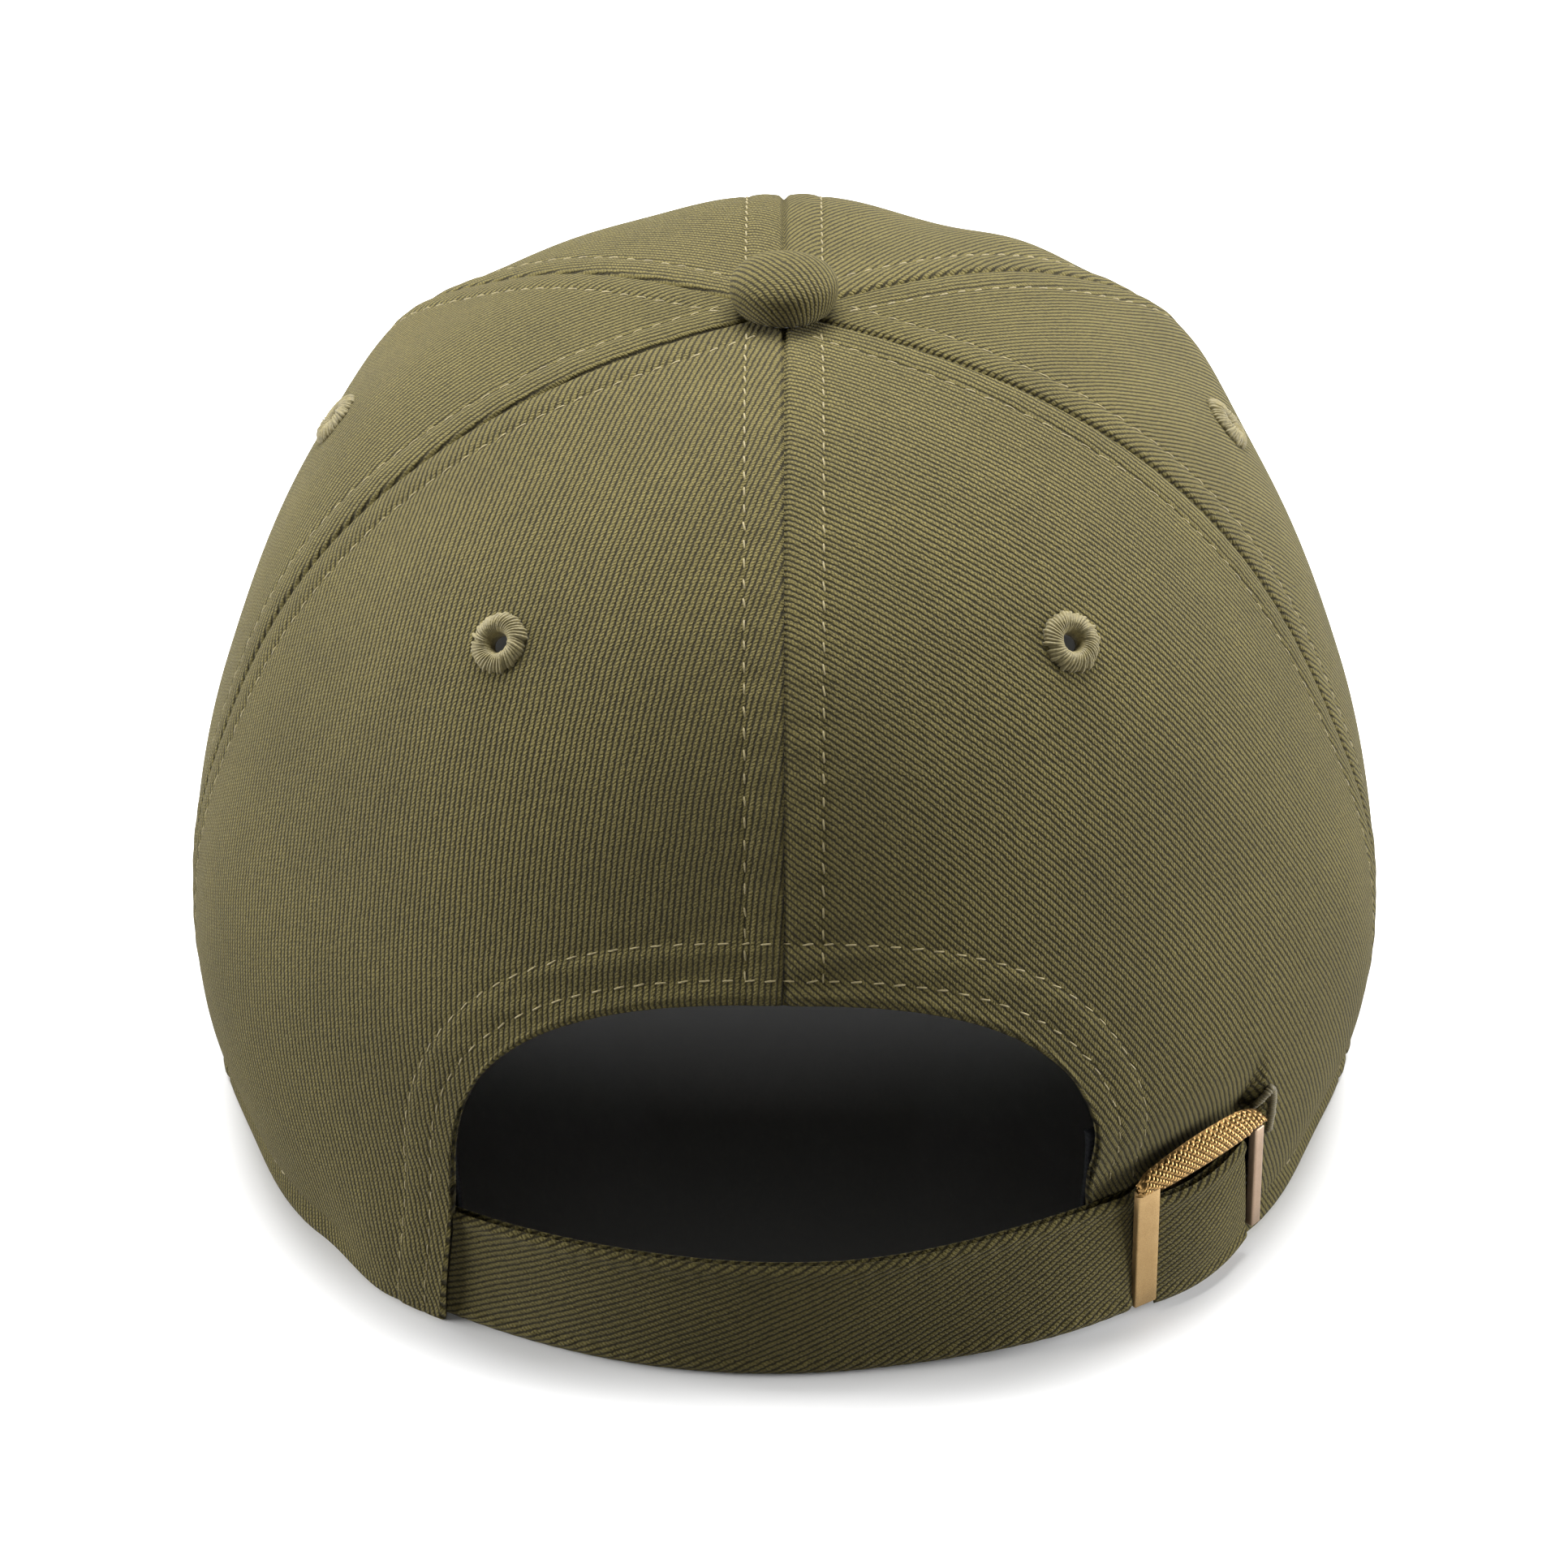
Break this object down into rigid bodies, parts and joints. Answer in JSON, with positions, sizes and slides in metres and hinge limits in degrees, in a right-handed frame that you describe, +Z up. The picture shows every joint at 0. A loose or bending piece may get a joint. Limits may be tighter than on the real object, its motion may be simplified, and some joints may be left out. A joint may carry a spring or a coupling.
{
  "type": "baseball cap",
  "caption": "Panelled cotton-twill cap with a curved visor, embroidered eyelets, a covered button, an arched rear opening and a strap that slides through a brass slide buckle.",
  "frame": {"origin": "centre of the head opening on the plane that the rear hem rests on, straight under the button", "axes": "+Z up; the visor points towards -Y, the strap is at +Y, +X is the wearer's left"},
  "size_m": [0.1774, 0.2575, 0.1236],
  "materials": {
    "olive_twill": "cotton twill, garment-washed",
    "olive_thread": "polyester embroidery thread",
    "black_tape": "woven seam tape",
    "black_lining": "stiff open-weave buckram",
    "black_ribbed_band": "ribbed sweatband tape",
    "plated_steel": "zinc-plated stamping",
    "visor_board": "die-cut polyethylene board",
    "antique_brass": "antiqued, sand-blasted and knurled"
  },
  "bodies": {
    "cap": {"rear_left_panel": "olive_twill", "rear_right_panel": "olive_twill", "side_left_panel": "olive_twill", "side_right_panel": "olive_twill", "front_left_panel": "olive_twill", "front_right_panel": "olive_twill", "rear_left_eyelet": "olive_thread", "rear_right_eyelet": "olive_thread", "side_left_eyelet": "olive_thread", "side_right_eyelet": "olive_thread", "front_left_eyelet": "olive_thread", "front_right_eyelet": "olive_thread", "tuck_slot_stitching": "olive_thread", "seam_tape_rear": "black_tape", "seam_tape_rear_left": "black_tape", "seam_tape_rear_right": "black_tape", "seam_tape_front_left": "black_tape", "seam_tape_front_right": "black_tape", "seam_tape_front": "black_tape", "front_lining_left": "black_lining", "front_lining_right": "black_lining", "sweatband": "black_ribbed_band", "arch_facing": "olive_twill", "button_cover": "olive_twill", "button_shell": "plated_steel", "button_rivet": "plated_steel", "button_washer": "plated_steel", "visor_board": "visor_board", "visor_top_cover": "olive_twill", "visor_under_cover": "olive_twill", "buckle_frame": "antique_brass", "buckle_tab": "olive_twill"},
    "strap": {"strap_outer_ply": "olive_twill", "strap_inner_ply": "olive_twill"}
  },
  "joints": [
    {"name": "strap_slide", "type": "hinge", "parent": "cap", "child": "strap", "pos_m": [0, 0.0086, 0.0117], "axis": [0, 0, 1], "range_deg": [-6, 18]}
  ]
}
